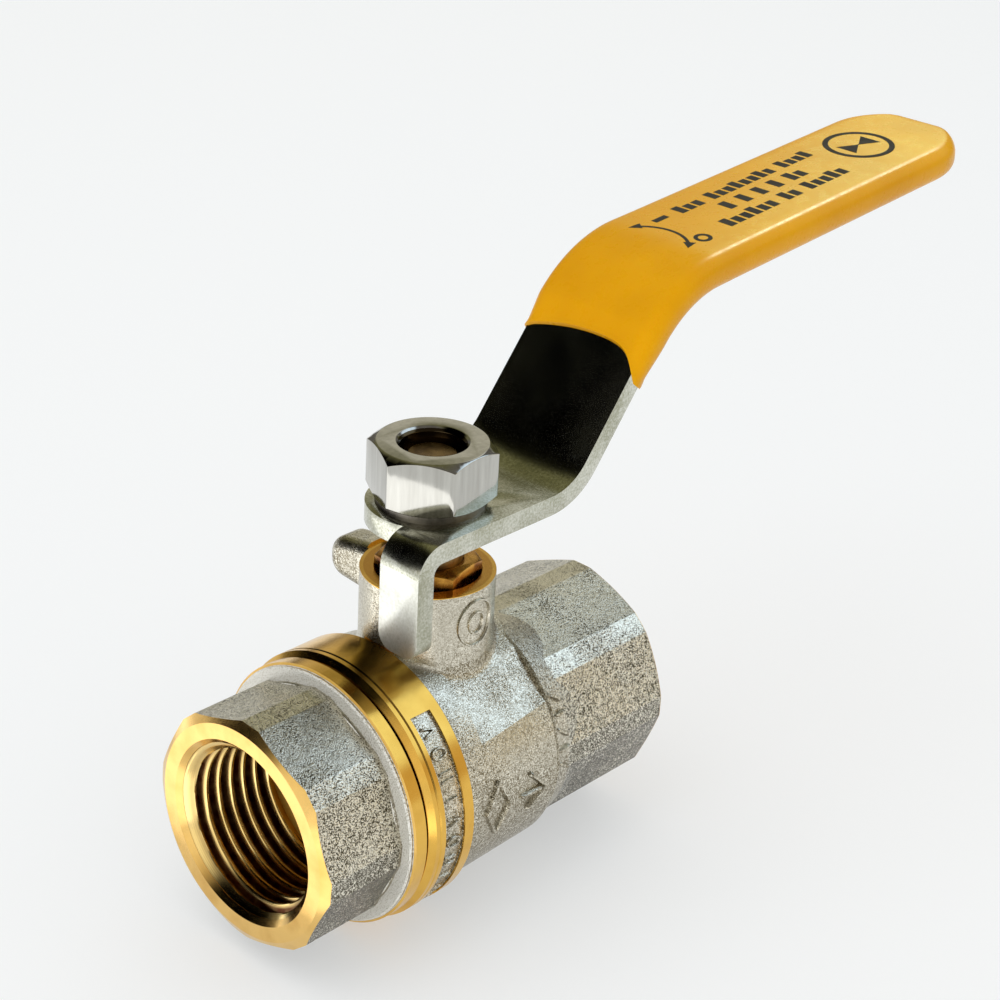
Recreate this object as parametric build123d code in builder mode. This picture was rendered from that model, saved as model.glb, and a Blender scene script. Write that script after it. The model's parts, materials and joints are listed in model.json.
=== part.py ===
"""DN15 gas ball valve, G 1/2 female ends, with a full steel lever in a dipped sleeve.

Frame: origin in the middle of the end cap's port face, +X along the pipe axis from the
end cap to the body end, +Z up along the stem, +Y to the left. Millimetres.
"""
from build123d import *
import math
import os

os.makedirs("parts", exist_ok=True)

# ---- Driving dimensions ---------------------------------------------------------------
face_to_face = 56.0        # port face to port face
stem_x = face_to_face / 2  # the stem axis crosses the pipe axis here
octagon_flats = 27.0       # wrench size of both octagons
octagon_corner_cut = 1.45  # length taken off each octagon edge at a corner
octagon_edge_r = 0.5
cap_turn = 4.0             # degrees that the screwed-in cap stops past the body's octagon
overshoot = 1.0            # how far a cut reaches past the stock
corner_clear = 0.1         # how far a corner-rounding cone passes outside a hexagon's corners
running_clearance = 0.05   # radial gap between turned pieces that fit together

# G 1/2 pipe thread (ISO 228-1): the hole's wall is modelled at the major diameter
thread_major_r = 20.955 / 2
thread_length = 13.5
thread_end_cone = 1.2
port_mouth_r = 11.1
port_mouth_chamfer = 0.6
waterway_r = 7.5           # DN15 full bore
face_chamfer_r = 12.95     # inner edge of the chamfer turned on the port faces
face_chamfer_back = 1.1    # how far that chamfer runs back at face_chamfer_outer_r
face_chamfer_outer_r = 15.0

# Joint between body and end cap, as distances in front of the stem axis
joint_x = stem_x - 14.3
joint_gap = 0.05           # half of the parting line's width
cap_thread_r = 13.1        # fine thread that holds the cap, modelled plain
cap_nose_x = stem_x - 6.7
cap_pocket_end_x = stem_x - 6.6
band_r = 16.2              # machined ring round the body's mouth
band_end_x = stem_x - 7.5
pocket_depth = 0.35        # as-cast strip left in the machined ring
pocket_front_x = stem_x - 12.2
pocket_back_x = stem_x - 9.2
pocket_start_deg = 38.0    # angles round the pipe axis, from straight up
pocket_end_deg = 152.0

# Ball, seats and cavity
ball_r = 12.0
cavity_r = 12.4
seat_gap = 0.12            # between a seat's spherical face and the ball
seat_outer_r = 11.0
seat_inner_r = 7.7
seat_front = 6.9           # distances of the seat's two faces from the ball's centre
seat_back = 10.4
seat_pocket_r = 11.05
cavity_start = 6.6         # the port bore is cut this close to the ball's centre
slot_width = 4.1           # slot in the ball, across the waterway when open
slot_length = 11.0
slot_floor_z = 9.4

# Stem and neck
stem_r = 4.0
stem_bore_r = 4.05
tongue_width = 4.0
tongue_length = 9.2
tongue_bottom_z = 9.6
shoulder_r = 5.7
shoulder_bottom_z = 12.3
shoulder_top_z = 13.5
washer_top_z = 14.5        # thrust washer under the neck's ceiling
recess_r = 5.9
recess_start_z = 5.0       # inside the ball's cavity
o_ring_section_r = 0.6
o_ring_heights = {"lower": 15.6, "upper": 17.3}
o_ring_groove_width = 1.3
o_ring_groove_r = 2.8
neck_r = 7.8
neck_top_z = 23.4
neck_top_cut = 0.25        # how far past the neck the cutter that faces its top reaches
packing_bottom_z = 18.4
packing_top_z = 19.7
gland_r = 5.5
gland_counterbore_r = 6.2
gland_seat_z = 22.0
gland_top_z = 24.9
gland_flats = 10.6
gland_turn = 12.0
gland_cone_rise = 0.45     # height of the cone that takes a nut's corners off

# Lever, nut and washer
strip_thickness = 2.4
lever_bottom_z = 29.4
lever_top_z = lever_bottom_z + strip_thickness
lever_mid_z = (lever_bottom_z + lever_top_z) / 2
hub_r = 7.4                # round front corner of the lever's plate
hub_half_width = 8.5
grip_half_width = 8.2
arm_angle = 51.5           # slope of the arm between its two bends
arm_start = (14.9, lever_mid_z)
arm_end = (31.5, 51.6)
grip_slope = 4.9
strip_end = 91.8           # distance of the strip's tip from the stem axis
inner_bend_r = 8.0
outer_bend_r = 16.0
tab_inner = 7.8            # stop tabs: distance of their inner face from the stem axis
tab_bend_r = 2.4
tab_bottom_z = 18.2
tab_near = 2.6             # edge of a tab that meets the stop lug
tab_far = hub_half_width   # a tab's outer edge runs on from the plate's side
sleeve_wall = 1.0
strip_tip_r = 7.2
taper_start = 16.0         # the strip narrows from hub_half_width to grip_half_width between these
taper_end = 42.0
strip_cut_height = 80.0    # taller than the whole lever
sleeve_start_z = 42.4      # where the sleeve starts, on the arm's middle line
arm_rise = math.tan(math.radians(arm_angle))
sleeve_start_x = arm_start[0] + (sleeve_start_z - arm_start[1]) / arm_rise
flat_half = 2.9            # half distance across the stem's two flats
flats_clearance = 0.05
stem_thread_r = 3.6        # M8 modelled plain at its pitch radius
nut_thread_gap = 0.02
spring_washer_r = 6.3
spring_washer_bore_r = 4.2
spring_washer_height = 0.8
nut_flats = 13.0
nut_height = 6.5
nut_mouth_r = 4.15
nut_turn = 4.0
nut_cone_rise = 0.75
nut_face_r = 6.3           # round face left by the corner cones
nut_bore_r = stem_thread_r + nut_thread_gap
nut_corner_r = nut_flats / 2 / math.cos(math.radians(30))
nut_bottom_z = lever_top_z + spring_washer_height
nut_top_z = nut_bottom_z + nut_height
stem_top_z = nut_top_z - 1.5

# Stop lug on the neck, on the +Y side: a blunt thumb whose inner face is machined
lug_half_width = 2.6
lug_root_y = neck_r - 1.5
lug_end_y = 14.0
lug_end_z = (18.0, 22.7)   # bottom and top of the lug at its end
lug_root_z = (17.4, 24.0)  # the same at its root
lug_end_r = 2.3
lug_side_r = 1.5

pipe_axis = Axis((0, 0, 0), (1, 0, 0))
stem_axis = Axis((stem_x, 0, 0), (0, 0, 1))
mid_plane = Plane.XZ                                  # side view, local x = X, local y = Z


def about_stem(z):
    """Horizontal sketch plane at height z, centred on the stem axis."""
    return Plane((stem_x, 0, z))


def across_pipe(x):
    """Sketch plane across the pipe at x, facing +X, with its local x along +Y."""
    return Plane(origin=(x, 0, 0), x_dir=(0, 1, 0), z_dir=(1, 0, 0))


def finish_part(builder, name):
    """Label a finished piece and write its STEP file."""
    builder.part.label = name
    export_step(builder.part, f"parts/{name}.step")


def octagon(turn):
    """Octagon with a cut corner on top, turned about the pipe axis."""
    RegularPolygon(octagon_flats / 2, 8, major_radius=False, rotation=turn)
    chamfer(vertices(), octagon_corner_cut)


def port_profile(face_x, inward):
    """Half section of a threaded port; inward is +1 from the cap's face, -1 from the body's."""
    def at(depth, r):
        return (face_x + inward * depth, r)
    Polyline(
        at(-overshoot, 0), at(-overshoot, port_mouth_r + overshoot), at(0, port_mouth_r),
        at(port_mouth_chamfer, thread_major_r), at(thread_length, thread_major_r),
        at(thread_length, waterway_r + thread_end_cone), at(thread_length + thread_end_cone, waterway_r),
        at(stem_x - seat_back, waterway_r), at(stem_x - seat_back, seat_pocket_r),
        at(stem_x - cavity_start, seat_pocket_r), at(stem_x - cavity_start, 0),
        close=True,
    )


def face_chamfer_profile(face_x, inward):
    """Triangle turned off the outer corners of a port face."""
    Polyline(
        (face_x - inward, face_chamfer_r), (face_x, face_chamfer_r),
        (face_x + inward * face_chamfer_back, face_chamfer_outer_r),
        (face_x + inward * face_chamfer_back, face_chamfer_outer_r + 2 * overshoot),
        (face_x - inward, face_chamfer_outer_r + 2 * overshoot),
        close=True,
    )


# ---- End cap ---------------------------------------------------------------------------
flange_face_x = stem_x - 16.9   # flat face of the flange behind the cap's octagon
flange_root_r = 13.2
flange_root_fillet = 0.5
flange_rim_r = 15.2
flange_r = 15.4
flange_back_x = stem_x - 16.5
flange_front_x = flange_face_x - flange_root_fillet
collar_r = 15.75           # machined collar behind the flange
collar_front_x = stem_x - 16.35
collar_chamfer = 0.4
seal_groove_x = joint_x + 1.1
seal_groove_r = 12.5
seal_groove_width = 1.4
seal_groove_depth = 1.3
seal_section_r = 0.62
with BuildPart() as end_cap:
    with BuildSketch(across_pipe(0)):
        octagon(cap_turn)
    extrude(amount=flange_back_x)
    fillet(end_cap.edges().filter_by(Axis.X), octagon_edge_r)
    with BuildSketch(mid_plane):
        with BuildLine():
            Line((flange_front_x, 0), (flange_front_x, flange_root_r))
            RadiusArc(
                (flange_front_x, flange_root_r), (flange_face_x, flange_root_r + flange_root_fillet),
                flange_root_fillet,
            )
            Polyline(
                (flange_face_x, flange_root_r + flange_root_fillet), (flange_face_x, flange_rim_r),
                (flange_face_x + flange_r - flange_rim_r, flange_r),
                (flange_back_x, flange_r), (collar_front_x, collar_r),
                (joint_x - joint_gap - collar_chamfer, collar_r),
                (joint_x - joint_gap, collar_r - collar_chamfer),
                (joint_x - joint_gap, cap_thread_r), (cap_nose_x, cap_thread_r),
                (cap_nose_x, 0), (flange_front_x, 0),
            )
        make_face()
    revolve(axis=pipe_axis)
    with BuildSketch(mid_plane):
        with BuildLine():
            face_chamfer_profile(0, 1)
        make_face()
    revolve(axis=pipe_axis, mode=Mode.SUBTRACT)
    with BuildSketch(mid_plane):
        with BuildLine():
            port_profile(0, 1)
        make_face()
    revolve(axis=pipe_axis, mode=Mode.SUBTRACT)
    # groove for the seal behind the cap's shoulder
    with BuildSketch(mid_plane):
        with Locations((seal_groove_x, seal_groove_r)):
            Rectangle(seal_groove_width, seal_groove_depth)
    revolve(axis=pipe_axis, mode=Mode.SUBTRACT)
finish_part(end_cap, "end_cap")

with BuildPart() as cap_seal:
    with BuildSketch(mid_plane):
        with Locations((seal_groove_x, seal_groove_r)):
            Circle(seal_section_r)
    revolve(axis=pipe_axis)
finish_part(cap_seal, "cap_seal")

# ---- Body ------------------------------------------------------------------------------
step_x = stem_x + 7.3      # front edge of the collar in front of the body's octagon
octagon_start_x = step_x + 1.5
facet_angle = 43.0         # the barrel's flat facets face this far down from straight up
facet_distance = 14.6
facet_front_x = stem_x - 4
facet_tool = 6.0           # thickness of what is cut away outside a facet
barrel_r = 15.05
barrel_front_r = 15.4      # the barrel swells towards the machined ring
lip_chamfer_r = 15.5
lip_chamfer_end_x = joint_x + 0.65
lip_groove_x = joint_x + 1.35
lip_groove_depth = 0.12
lip_groove_half = 0.15
band_chamfer = 0.3
step_groove_r = 14.3       # bottom of the groove between barrel and collar
step_groove_ends = (0.2, 0.5, 0.8)  # its corners, as distances behind step_x
collar_front_r = 14.65
collar_mid_x = step_x + 3.2
collar_mid_r = 14.15
collar_end_x = step_x + 6.0
collar_end_r = 13.45
neck_fillet = 1.3


def ring_sector(x_start, x_end, r_in, r_out, start_deg, end_deg):
    """Ring piece about the pipe axis; angles are from straight up towards -Y."""
    plane = Plane(origin=(0, 0, 0), x_dir=(1, 0, 0), z_dir=(0, -1, 0))
    with BuildPart() as sector:
        with BuildSketch(plane.rotated((start_deg, 0, 0))):
            with Locations(((x_start + x_end) / 2, (r_in + r_out) / 2)):
                Rectangle(x_end - x_start, r_out - r_in)
        revolve(axis=pipe_axis, revolution_arc=end_deg - start_deg)
    return sector.part


def cut_facets(x, length):
    """Cut the flat facets on both upper shoulders of the barrel, from x on."""
    for side in (-1, 1):
        leaning = side * math.radians(facet_angle)
        middle = facet_distance + facet_tool / 2
        with BuildSketch(across_pipe(x)) as facet:
            with Locations((middle * math.sin(leaning), middle * math.cos(leaning))):
                Rectangle(3 * facet_tool, facet_tool, rotation=-side * facet_angle)
        extrude(facet.sketch, amount=length, mode=Mode.SUBTRACT)


def is_neck_root(edge):
    """True for the edges where the neck meets the barrel."""
    points = [edge.position_at(t) for t in (0, 0.3, 0.7, 1)]
    on_neck = all(abs(math.hypot(p.X - stem_x, p.Y) - neck_r) < 0.01 for p in points)
    return on_neck and 5 < edge.center().Z < neck_top_z - 3


# rear octagon, with the soft edges of a forging
with BuildPart() as octagon_block:
    with BuildSketch(across_pipe(octagon_start_x)):
        octagon(0)
    extrude(amount=face_to_face - octagon_start_x)
    fillet(octagon_block.edges().filter_by(Axis.X), octagon_edge_r)

# the neck and its blend into the barrel
with BuildPart() as neck_block:
    with BuildSketch(across_pipe(stem_x - barrel_r)):
        Circle(barrel_r)
    extrude(amount=2 * barrel_r)
    cut_facets(stem_x - barrel_r, 2 * barrel_r)
    with BuildSketch(about_stem(0)):
        Circle(neck_r)
    extrude(amount=neck_top_z)
    fillet([edge for edge in neck_block.edges() if is_neck_root(edge)], neck_fillet)
    with BuildSketch(about_stem(0)):
        Circle(neck_r + neck_fillet + neck_top_cut)
    extrude(amount=neck_top_z, mode=Mode.INTERSECT)

# the stop lug, rounded like the rest of the forging
with BuildPart() as lug_block:
    with BuildSketch(across_pipe(stem_x - lug_half_width)):
        with BuildLine():
            FilletPolyline(
                (lug_root_y, lug_root_z[0]), (lug_end_y, lug_end_z[0]),
                (lug_end_y, lug_end_z[1]), (lug_root_y, lug_root_z[1]),
                radius=lug_end_r,
            )
            Line((lug_root_y, lug_root_z[1]), (lug_root_y, lug_root_z[0]))
        make_face()
    extrude(amount=2 * lug_half_width)
    long_edges = [edge for edge in lug_block.edges() if edge.center().Y > lug_root_y + 0.1]
    fillet([edge for edge in long_edges if abs(edge.tangent_at(0.5).X) < 0.5], lug_side_r)

with BuildPart() as body:
    with BuildSketch(mid_plane):
        with BuildLine():
            Polyline(
                (joint_x + joint_gap, 0), (joint_x + joint_gap, lip_chamfer_r),
                (lip_chamfer_end_x, band_r), (lip_groove_x - lip_groove_half, band_r),
                (lip_groove_x, band_r - lip_groove_depth), (lip_groove_x + lip_groove_half, band_r),
                (band_end_x - band_chamfer, band_r), (band_end_x, band_r - band_chamfer),
                (band_end_x + band_chamfer, barrel_front_r), (step_x, barrel_r),
                (step_x + step_groove_ends[0], step_groove_r), (step_x + step_groove_ends[1], step_groove_r),
                (step_x + step_groove_ends[2], collar_front_r), (collar_mid_x, collar_mid_r),
                (collar_end_x, collar_end_r), (collar_end_x, 0), close=True,
            )
        make_face()
    revolve(axis=pipe_axis)
    cut_facets(facet_front_x, step_x - facet_front_x)
    add(octagon_block.part)
    add(neck_block.part)
    add(lug_block.part)
    # the neck's top and the lug's inner face are machined in one cut
    with BuildSketch(about_stem(neck_top_z)):
        Circle(neck_r + neck_top_cut)
    extrude(amount=lug_root_z[1] - neck_top_z + overshoot, mode=Mode.SUBTRACT)
    # as-cast strip left in the machined ring, on both sides
    for start in (pocket_start_deg, -pocket_end_deg):
        strip_cut = ring_sector(
            pocket_front_x, pocket_back_x, band_r - pocket_depth, band_r + overshoot,
            start, start + pocket_end_deg - pocket_start_deg,
        )
        add(strip_cut, mode=Mode.SUBTRACT)
    with BuildSketch(mid_plane):
        with BuildLine():
            face_chamfer_profile(face_to_face, -1)
        make_face()
    revolve(axis=pipe_axis, mode=Mode.SUBTRACT)
    # waterway, seat pocket and rear port
    with BuildSketch(mid_plane):
        with BuildLine():
            port_profile(face_to_face, -1)
        make_face()
    revolve(axis=pipe_axis, mode=Mode.SUBTRACT)
    # ball cavity and the bore that takes the cap
    with BuildSketch(mid_plane):
        with BuildLine():
            Polyline(
                (joint_x - overshoot, 0), (joint_x - overshoot, cap_thread_r + running_clearance),
                (cap_pocket_end_x, cap_thread_r + running_clearance),
                (cap_pocket_end_x, cavity_r), (stem_x + seat_front, cavity_r),
                (stem_x + seat_front, 0), close=True,
            )
        make_face()
    revolve(axis=pipe_axis, mode=Mode.SUBTRACT)
    # stem recess, stem bore, packing chamber and gland counterbore
    for z, r, depth in (
        (recess_start_z, recess_r, washer_top_z - recess_start_z),
        (washer_top_z, stem_bore_r, packing_bottom_z - washer_top_z),
        (packing_bottom_z, gland_r + running_clearance, gland_seat_z - packing_bottom_z),
        (gland_seat_z, gland_counterbore_r, neck_top_z - gland_seat_z + overshoot),
    ):
        with BuildSketch(about_stem(z)):
            Circle(r)
        extrude(amount=depth, mode=Mode.SUBTRACT)
finish_part(body, "body")

# ---- Ball and seats ---------------------------------------------------------------------
with BuildPart() as ball:
    with Locations((stem_x, 0, 0)):
        Sphere(ball_r)
    with BuildSketch(across_pipe(stem_x - ball_r)):
        Circle(waterway_r)
    extrude(amount=2 * ball_r, mode=Mode.SUBTRACT)
    fillet(ball.edges().filter_by(GeomType.CIRCLE), 0.3)
    with BuildSketch(about_stem(slot_floor_z)):
        Rectangle(slot_width, slot_length)
    extrude(amount=ball_r, mode=Mode.SUBTRACT)
finish_part(ball, "ball")

seat_sphere_r = ball_r + seat_gap
seat_lip_r = math.sqrt(seat_sphere_r**2 - seat_front**2)
seat_lip_x = math.sqrt(seat_sphere_r**2 - seat_inner_r**2)
seat_mid_x = (seat_front + seat_lip_x) / 2
seat_mid_r = math.sqrt(seat_sphere_r**2 - seat_mid_x**2)
for side, name in ((-1, "seat_cap_side"), (1, "seat_body_side")):
    with BuildPart() as seat:
        with BuildSketch(mid_plane):
            with BuildLine():
                ThreePointArc(
                    (stem_x + side * seat_front, seat_lip_r), (stem_x + side * seat_mid_x, seat_mid_r),
                    (stem_x + side * seat_lip_x, seat_inner_r),
                )
                Polyline(
                    (stem_x + side * seat_lip_x, seat_inner_r), (stem_x + side * seat_back, seat_inner_r),
                    (stem_x + side * seat_back, seat_outer_r), (stem_x + side * seat_front, seat_outer_r),
                    (stem_x + side * seat_front, seat_lip_r),
                )
            make_face()
        revolve(axis=pipe_axis)
    finish_part(seat, name)

# ---- Stem and its seals -----------------------------------------------------------------
stem_shoulder_z = lever_bottom_z
stem_chamfer = 0.9
stem_cut_r = 6.0           # reach of the cuts that shape the tongue and the flats
tongue_round_r = 4.9       # the tongue's ends are round
with BuildPart() as stem:
    with BuildSketch(mid_plane):
        with BuildLine():
            outline = [(0, tongue_bottom_z), (tongue_round_r, tongue_bottom_z)]
            outline += [(tongue_round_r, shoulder_bottom_z)]
            outline += [(shoulder_r, shoulder_bottom_z), (shoulder_r, shoulder_top_z)]
            outline += [(stem_r, shoulder_top_z)]
            for height in o_ring_heights.values():
                low = height - o_ring_groove_width / 2
                high = height + o_ring_groove_width / 2
                outline += [(stem_r, low), (o_ring_groove_r, low), (o_ring_groove_r, high), (stem_r, high)]
            outline += [(stem_r, stem_shoulder_z), (stem_thread_r, stem_shoulder_z)]
            outline += [(stem_thread_r, stem_top_z - stem_chamfer)]
            outline += [(stem_thread_r - stem_chamfer, stem_top_z), (0, stem_top_z)]
            Polyline([(stem_x + r, z) for r, z in outline], close=True)
        make_face()
    revolve(axis=stem_axis)
    # the tongue that turns the ball
    with BuildSketch(about_stem(tongue_bottom_z)):
        Circle(stem_cut_r)
        Rectangle(tongue_width, tongue_length, mode=Mode.SUBTRACT)
    extrude(amount=shoulder_bottom_z - tongue_bottom_z, mode=Mode.SUBTRACT)
    # two flats that carry the lever
    with BuildSketch(about_stem(stem_shoulder_z)):
        Circle(stem_cut_r)
        Rectangle(2 * stem_cut_r, 2 * flat_half, mode=Mode.SUBTRACT)
    extrude(amount=strip_thickness, mode=Mode.SUBTRACT)
finish_part(stem, "stem")

with BuildPart() as stem_thrust_washer:
    with BuildSketch(about_stem(shoulder_top_z)):
        Circle(shoulder_r)
        Circle(stem_bore_r, mode=Mode.SUBTRACT)
    extrude(amount=washer_top_z - shoulder_top_z)
finish_part(stem_thrust_washer, "stem_thrust_washer")

for place, height in o_ring_heights.items():
    with BuildPart() as stem_o_ring:
        with BuildSketch(mid_plane):
            with Locations((stem_x + o_ring_groove_r + o_ring_section_r, height)):
                Circle(o_ring_section_r)
        revolve(axis=stem_axis)
    finish_part(stem_o_ring, f"stem_o_ring_{place}")

with BuildPart() as gland_packing:
    with BuildSketch(about_stem(packing_bottom_z)):
        Circle(gland_r)
        Circle(stem_bore_r, mode=Mode.SUBTRACT)
    extrude(amount=packing_top_z - packing_bottom_z)
finish_part(gland_packing, "gland_packing")


def corner_cone(r_flat, r_wide, z_low, z_high, rise):
    """Profile about the stem axis that turns the corners off a hexagon, top and bottom."""
    Polyline(
        (stem_x, z_low), (stem_x + r_flat, z_low), (stem_x + r_wide, z_low + rise),
        (stem_x + r_wide, z_high - rise), (stem_x + r_flat, z_high), (stem_x, z_high),
        close=True,
    )


gland_corner_r = gland_flats / 2 / math.cos(math.radians(30))
with BuildPart() as gland_nut:
    with BuildSketch(about_stem(gland_seat_z)):
        RegularPolygon(gland_flats / 2, 6, major_radius=False, rotation=gland_turn)
    extrude(amount=gland_top_z - gland_seat_z)
    with BuildSketch(mid_plane):
        with BuildLine():
            corner_cone(
                gland_flats / 2, gland_corner_r + corner_clear,
                gland_seat_z - 2 * overshoot, gland_top_z, gland_cone_rise,
            )
        make_face()
    revolve(axis=stem_axis, mode=Mode.INTERSECT)
    with BuildSketch(about_stem(packing_top_z)):
        Circle(gland_r)
    extrude(amount=gland_seat_z - packing_top_z)
    with BuildSketch(about_stem(packing_top_z)):
        Circle(stem_bore_r)
    extrude(amount=gland_top_z - packing_top_z, mode=Mode.SUBTRACT)
finish_part(gland_nut, "gland_nut")

# ---- Lever ------------------------------------------------------------------------------
def strip_path(end):
    """Middle line of the bent strip, in the side view, out to a distance from the stem axis."""
    end_point = (stem_x + end, arm_end[1] + (end - arm_end[0]) * math.tan(math.radians(grip_slope)))
    corners = [(stem_x, lever_mid_z), (stem_x + arm_start[0], arm_start[1])]
    corners += [(stem_x + arm_end[0], arm_end[1]), end_point]
    FilletPolyline(corners, radius=[inner_bend_r, outer_bend_r])


def bent_strip(thickness, half_width, end, tip_r):
    """The bent strip with its rounded tip, as a solid."""
    with BuildPart() as strip:
        with BuildSketch(mid_plane):
            with BuildLine() as line:
                strip_path(end)
            trace(line.line, line_width=thickness)
        extrude(amount=half_width + overshoot, both=True)
        plate_half = hub_half_width + half_width - grip_half_width
        with BuildSketch(Plane.XY):
            with BuildLine():
                Polyline(
                    (stem_x, hub_r), (stem_x + tab_near, plate_half),
                    (stem_x + taper_start, plate_half), (stem_x + taper_end, half_width),
                    (stem_x + end, half_width), (stem_x + end, -half_width),
                    (stem_x + taper_end, -half_width), (stem_x + taper_start, -plate_half),
                    (stem_x, -plate_half), close=True,
                )
            make_face()
            fillet(vertices().group_by(Axis.X)[-1], tip_r)
        extrude(amount=strip_cut_height, mode=Mode.INTERSECT)
    return strip.part


tab_middle = tab_inner + strip_thickness / 2
tab_corner_r = 2.0


def stop_tab(plane, reach):
    """A tab bent down from the hub, in the side view given by plane, extruded by reach."""
    with BuildPart() as tab:
        with BuildSketch(plane):
            with BuildLine() as line:
                FilletPolyline(
                    (0, lever_mid_z), (tab_middle, lever_mid_z), (tab_middle, tab_bottom_z),
                    radius=tab_bend_r,
                )
            trace(line.line, line_width=strip_thickness)
        extrude(amount=reach)
        bottom = tab.faces().sort_by(Axis.Z)[0]
        corners = [edge for edge in bottom.edges() if edge.length < strip_thickness + corner_clear]
        fillet(corners, tab_corner_r)
    return tab.part


off_tab_plane = Plane(origin=(stem_x, -tab_near, 0), x_dir=(-1, 0, 0), z_dir=(0, 1, 0))
on_tab_plane = Plane(origin=(stem_x + tab_near, 0, 0), x_dir=(0, 1, 0), z_dir=(1, 0, 0))
with BuildPart() as lever:
    add(bent_strip(strip_thickness, grip_half_width, strip_end, strip_tip_r))
    with BuildSketch(about_stem(lever_bottom_z)):
        Circle(hub_r)
    extrude(amount=strip_thickness)
    add(stop_tab(off_tab_plane, tab_near - tab_far))
    add(stop_tab(on_tab_plane, tab_far - tab_near))
    with BuildSketch(about_stem(lever_bottom_z)):
        Circle(stem_thread_r + flats_clearance)
        Rectangle(2 * stem_cut_r, 2 * (flat_half + flats_clearance), mode=Mode.INTERSECT)
    extrude(amount=strip_thickness, mode=Mode.SUBTRACT)
finish_part(lever, "lever")

with BuildPart() as lever_sleeve:
    add(bent_strip(
        strip_thickness + 2 * sleeve_wall, grip_half_width + sleeve_wall,
        strip_end + sleeve_wall, strip_tip_r + sleeve_wall,
    ))
    # the dipped end stops square to the arm
    with BuildSketch(Plane(
        origin=(stem_x + sleeve_start_x, 0, sleeve_start_z),
        x_dir=(0, 1, 0),
        z_dir=(-math.cos(math.radians(arm_angle)), 0, -math.sin(math.radians(arm_angle))),
    )):
        Rectangle(strip_cut_height, strip_cut_height)
    extrude(amount=strip_cut_height, mode=Mode.SUBTRACT)
    add(lever.part, mode=Mode.SUBTRACT)
finish_part(lever_sleeve, "lever_sleeve")

with BuildPart() as lever_washer:
    with BuildSketch(about_stem(lever_top_z)):
        Circle(spring_washer_r)
        Circle(spring_washer_bore_r, mode=Mode.SUBTRACT)
    extrude(amount=spring_washer_height)
finish_part(lever_washer, "lever_washer")

with BuildPart() as lever_nut:
    with BuildSketch(about_stem(nut_bottom_z)):
        RegularPolygon(nut_flats / 2, 6, major_radius=False, rotation=nut_turn)
    extrude(amount=nut_height)
    with BuildSketch(mid_plane):
        with BuildLine():
            corner_cone(nut_face_r, nut_corner_r + corner_clear, nut_bottom_z, nut_top_z, nut_cone_rise)
        make_face()
    revolve(axis=stem_axis, mode=Mode.INTERSECT)
    with BuildSketch(mid_plane):
        with BuildLine():
            Polyline(
                (stem_x, nut_bottom_z), (stem_x + nut_mouth_r, nut_bottom_z),
                (stem_x + nut_bore_r, nut_bottom_z + nut_mouth_r - nut_bore_r),
                (stem_x + nut_bore_r, nut_top_z - nut_mouth_r + nut_bore_r),
                (stem_x + nut_mouth_r, nut_top_z), (stem_x, nut_top_z), close=True,
            )
        make_face()
    revolve(axis=stem_axis, mode=Mode.SUBTRACT)
finish_part(lever_nut, "lever_nut")
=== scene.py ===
import json
import math

import bmesh
import bpy
from mathutils import Matrix, Vector


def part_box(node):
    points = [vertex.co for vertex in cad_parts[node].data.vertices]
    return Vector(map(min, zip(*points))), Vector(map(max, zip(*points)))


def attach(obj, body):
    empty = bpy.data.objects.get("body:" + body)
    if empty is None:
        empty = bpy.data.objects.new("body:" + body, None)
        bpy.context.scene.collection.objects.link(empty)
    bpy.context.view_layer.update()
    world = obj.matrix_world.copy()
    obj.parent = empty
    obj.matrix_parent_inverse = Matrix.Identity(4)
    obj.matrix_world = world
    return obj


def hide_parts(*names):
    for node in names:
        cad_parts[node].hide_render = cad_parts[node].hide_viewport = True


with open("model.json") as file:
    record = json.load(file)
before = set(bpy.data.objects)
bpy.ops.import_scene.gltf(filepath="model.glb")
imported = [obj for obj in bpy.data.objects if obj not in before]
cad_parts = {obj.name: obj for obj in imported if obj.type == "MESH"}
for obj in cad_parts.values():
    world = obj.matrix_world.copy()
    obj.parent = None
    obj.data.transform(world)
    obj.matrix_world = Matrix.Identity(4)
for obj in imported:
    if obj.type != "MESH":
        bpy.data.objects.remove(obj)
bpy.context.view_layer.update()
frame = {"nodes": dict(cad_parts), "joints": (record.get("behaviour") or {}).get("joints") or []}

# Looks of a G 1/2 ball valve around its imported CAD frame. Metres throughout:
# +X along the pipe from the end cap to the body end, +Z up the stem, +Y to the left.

MM = 0.001
TAU = 2 * math.pi

# ---- Places taken from the frame --------------------------------------------------------
STEM_X = next(j for j in frame["joints"] if j["name"] == "lever_turn")["pos_m"][0]
FACE_TO_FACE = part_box("body")[1].x
LOWEST = min(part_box(node)[0].z for node in frame["nodes"])

# ---- Dimensions that repeat the CAD model's, where a look or a finer piece follows it -----
THREAD_MAJOR_R = 10.4775 * MM       # G 1/2
THREAD_MINOR_R = 9.3155 * MM
THREAD_PITCH = 1.8143 * MM
THREAD_LENGTH = 13.5 * MM
PORT_MOUTH_R = 11.1 * MM
STRIP_THICKNESS = 2.4 * MM
PLATE_MID_Z = 30.6 * MM             # middle of the lever's flat plate
ARM_START = Vector((14.9 * MM, PLATE_MID_Z))
ARM_END = Vector((31.5 * MM, 51.6 * MM))
GRIP_SLOPE = math.radians(4.9)
SLEEVE_TIP = 92.78 * MM             # distance from the stem axis
SLEEVE_START_Z = 42.4 * MM
SLEEVE_WALL = 1.0 * MM
SLEEVE_CUT_RISE = 3.2 * MM          # the dip line is higher in the middle of the strip
SLEEVE_CUT_DROP = 3.0 * MM          # and lowest at the -Y edge
SLEEVE_CUT_FADE = 7 * MM            # rings are square to the strip again this far on
SLEEVE_TIP_R = 8.9 * MM             # round the closed tip, seen from above
SLEEVE_CROWN = 0.16 * MM            # how far its broad faces bulge in the middle
SLEEVE_HALF_WIDTH = 9.2 * MM        # where the bulge ends
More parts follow.
